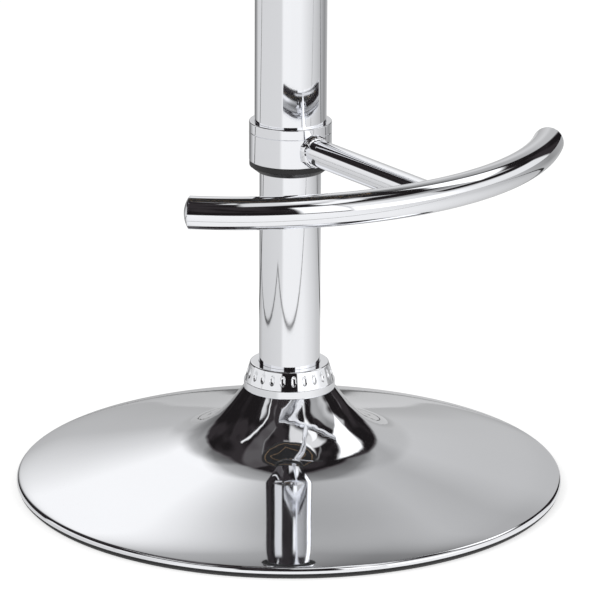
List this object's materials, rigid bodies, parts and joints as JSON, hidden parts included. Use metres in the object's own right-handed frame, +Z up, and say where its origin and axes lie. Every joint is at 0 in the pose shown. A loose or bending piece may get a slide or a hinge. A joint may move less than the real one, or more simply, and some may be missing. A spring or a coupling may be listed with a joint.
{
  "type": "bar stool",
  "caption": "Height-adjustable swivel bar stool: round padded seat on a chromed gas-lift column with a curved T footrest, above a round trumpet base.",
  "frame": {"origin": "on the floor under the centre of the round base", "axes": "+Z up along the column, -Y towards the footrest's crossbar, +X towards the height lever"},
  "size_m": [0.45, 0.45, 0.7336],
  "materials": {
    "chrome": "mirror-polished chrome plating",
    "black_rubber": "matt moulded rubber",
    "black_plastic": "satin moulded plastic",
    "white_nylon": "satin turned nylon",
    "cast_iron": "as cast, lightly oiled",
    "steel": "ground bright steel",
    "black_steel": "black oxide",
    "aluminium": "turned",
    "brass": "turned",
    "black_paint": "semi-gloss black powder coat",
    "plywood": "raw plywood",
    "foam": "open-cell polyurethane foam",
    "seat_leather": "soft grained black leatherette",
    "piping_leather": "grained black leatherette over cord",
    "dust_cloth": "non-woven black cloth"
  },
  "bodies": {
    "base": {"base_shell": "chrome", "rim_gasket": "black_rubber", "floor_cover": "black_plastic", "ballast_plate": "cast_iron", "column_socket": "black_paint", "base_ring": "chrome", "column_tube": "chrome", "column_end_plate": "steel", "guide_sleeve": "white_nylon", "bearing_lower_race": "steel", "bearing_balls": "steel", "bearing_cage": "brass"},
    "spindle": {"piston_rod": "steel", "rod_washer": "steel", "rod_clip": "steel", "bearing_upper_race": "steel", "bump_stop": "black_rubber", "piston": "aluminium", "piston_ring": "black_rubber"},
    "seat_lift": {"pressure_tube": "black_paint", "rod_guide": "aluminium", "rod_seal": "black_rubber", "valve_body": "brass", "cover_tube": "chrome", "footrest_collar": "chrome", "collar_bush": "black_plastic", "collar_set_screws": "black_steel", "footrest_arm": "chrome", "footrest_bar": "chrome", "bar_cap_left": "chrome", "bar_cap_right": "chrome", "seat_plate": "black_paint", "taper_hub": "black_paint", "lever_bracket": "black_paint", "lever_pin": "steel", "seat_bolts": "black_steel", "board_nuts": "steel", "seat_board": "plywood", "seat_foam": "foam", "seat_cover": "seat_leather", "seat_piping": "piping_leather", "dust_cloth": "dust_cloth"},
    "lever": {"release_lever": "chrome", "lever_grip": "black_plastic"},
    "valve": {"valve_button": "steel"}
  },
  "joints": [
    {"name": "seat_spin", "type": "hinge", "parent": "base", "child": "spindle", "pos_m": [0, 0, 0], "axis": [0, 0, 1], "continuous": true},
    {"name": "seat_height", "type": "slide", "parent": "spindle", "child": "seat_lift", "axis": [0, 0, 1], "range_m": [-0.12, 0.09]},
    {"name": "lever_lift", "type": "hinge", "parent": "seat_lift", "child": "lever", "pos_m": [0.036, 0, 0.6493], "axis": [0, -1, 0], "range_deg": [0, 4.78], "stiffness_Nm_per_rad": 1.5, "springref_deg": -5.73},
    {"name": "valve_press", "type": "slide", "parent": "seat_lift", "child": "valve", "axis": [0, 0, 1], "range_m": [-0.00305, 0]}
  ],
  "couplings": [
    {"joint": "valve_press", "follows": "lever_lift", "m_per_rad": -0.036}
  ]
}
